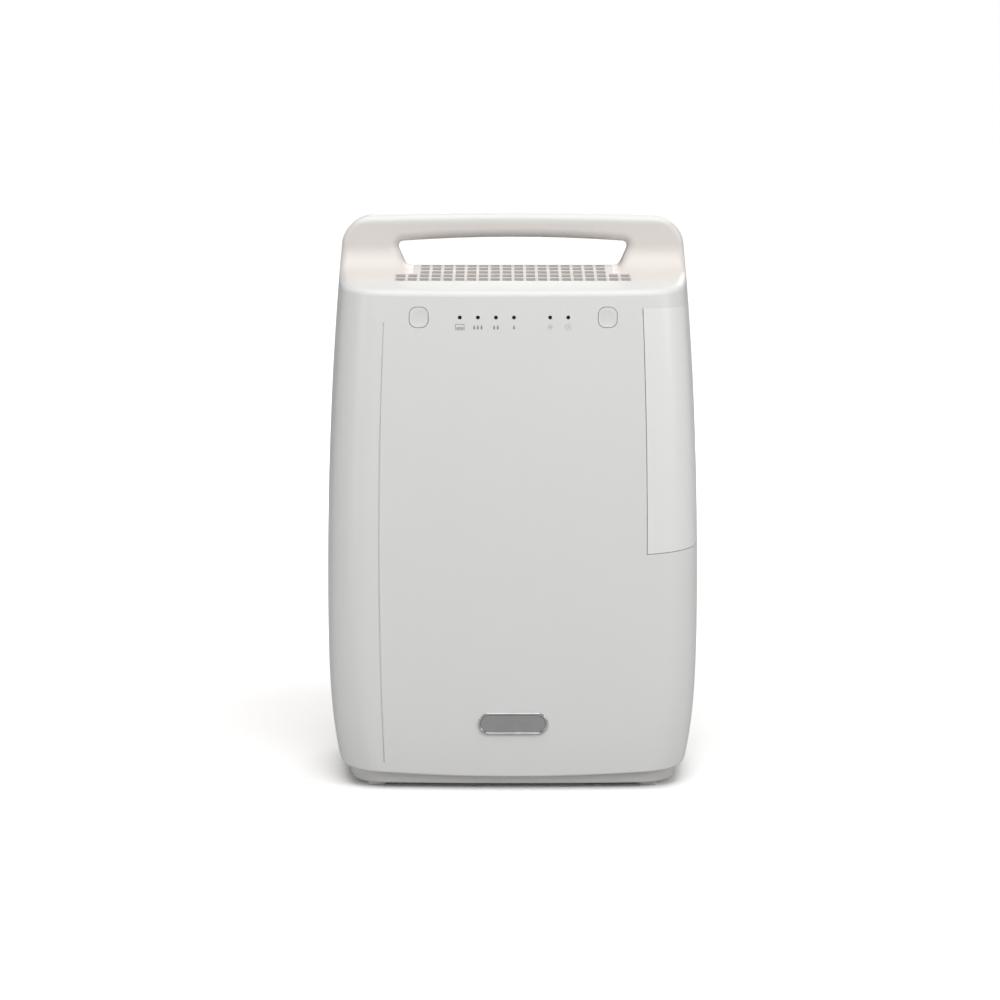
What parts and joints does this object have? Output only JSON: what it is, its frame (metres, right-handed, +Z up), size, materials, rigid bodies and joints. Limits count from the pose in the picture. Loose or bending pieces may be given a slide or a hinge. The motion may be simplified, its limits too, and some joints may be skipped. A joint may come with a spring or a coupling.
{
  "type": "dehumidifier",
  "caption": "Compact portable compressor dehumidifier: tapered rounded casing with an integral carrying handle, top outlet grille, control strip and a side-loading water tank.",
  "frame": {"origin": "on the floor, under the middle of the body", "axes": "+Z up, +X to the right of the control face, +Y to the back; the control face looks towards -Y"},
  "size_m": [0.336, 0.214, 0.506],
  "materials": {
    "casing": "fine satin-gloss moulded ABS, off-white",
    "side_cover": "fine satin-gloss moulded ABS, off-white",
    "grille": "matt off-white moulding",
    "button": "satin moulding",
    "lens": "dark tinted indicator lens",
    "badge_metal": "bright rim",
    "badge_satin": "satin plate",
    "pan": "grey moulded pan",
    "foot": "light moulded feet",
    "tank_clear": "translucent grey-blue polypropylene",
    "level_clear": "clear level window",
    "dark_plastic": "black moulding",
    "white_plastic": "white moulding",
    "foam": "closed-cell foam",
    "float_foam": "white closed-cell float",
    "mesh": "woven filter mesh",
    "steel_black": "black enamelled steel",
    "steel_zinc": "zinc-plated steel",
    "iron": "cast and laminated iron",
    "rubber": "moulded rubber",
    "copper": "bare copper",
    "fin_alu": "thin aluminium fins",
    "board": "circuit board"
  },
  "bodies": {
    "housing": {"accumulator_strap": "steel_zinc", "badge_plate": "badge_satin", "badge_rim": "badge_metal", "base_pan": "pan", "capillary_tube": "copper", "casing_screws": "steel_zinc", "coil_gasket": "foam", "compressor": "steel_black", "compressor_core": "iron", "compressor_grommets": "rubber", "compressor_nuts": "steel_zinc", "condenser_end_plates": "steel_zinc", "condenser_fins": "fin_alu", "condenser_tube": "copper", "control_board": "board", "control_board_screws": "steel_zinc", "cord_gland": "dark_plastic", "discharge_pipe": "copper", "drip_tray": "float_foam", "evaporator_end_plates": "steel_zinc", "evaporator_fins": "fin_alu", "evaporator_tube": "copper", "fan_motor": "steel_black", "fan_scroll": "white_plastic", "feet": "foot", "filter_drier": "copper", "front_casing": "casing", "humidity_sensor": "board", "indicator_lenses": "lens", "intake_grille": "white_plastic", "liquid_pipe": "copper", "mid_deck": "white_plastic", "motor_bracket": "steel_zinc", "outlet_grille": "grille", "power_board": "board", "rear_casing": "casing", "run_capacitor": "dark_plastic", "side_panel": "side_cover", "suction_accumulator": "steel_black", "suction_pipe": "copper", "tact_switches": "dark_plastic", "tank_bay": "white_plastic", "tank_sensor": "dark_plastic", "terminal_cover": "dark_plastic"},
    "water_tank": {"tank_body": "tank_clear", "tank_lid": "white_plastic", "tank_panel": "casing", "level_window": "level_clear"},
    "tank_float": {"float_arm": "white_plastic", "float_block": "float_foam", "float_magnet": "steel_zinc"},
    "left_button": {"button_left": "button"},
    "right_button": {"button_right": "button"},
    "fan": {"fan_impeller": "dark_plastic", "fan_shaft": "steel_zinc"},
    "dust_filter": {"filter_frame": "white_plastic", "filter_mesh": "mesh"}
  },
  "joints": [
    {"name": "tank_slide", "type": "slide", "parent": "housing", "child": "water_tank", "axis": [1, 0, 0], "range_m": [0, 0.13]},
    {"name": "float_swing", "type": "hinge", "parent": "water_tank", "child": "tank_float", "pos_m": [0.056, 0, 0.178], "axis": [0, -1, 0], "range_deg": [0, 12]},
    {"name": "button_left_press", "type": "slide", "parent": "housing", "child": "left_button", "axis": [0, 1, 0], "range_m": [0, 0.001], "stiffness_N_per_m": 1500},
    {"name": "button_right_press", "type": "slide", "parent": "housing", "child": "right_button", "axis": [0, 1, 0], "range_m": [0, 0.001], "stiffness_N_per_m": 1500},
    {"name": "fan_spin", "type": "hinge", "parent": "housing", "child": "fan", "pos_m": [0, 0.015, 0.322], "axis": [0, 1, 0], "continuous": true},
    {"name": "filter_pull", "type": "slide", "parent": "housing", "child": "dust_filter", "axis": [0, 1, 0], "range_m": [0, 0.03]}
  ]
}
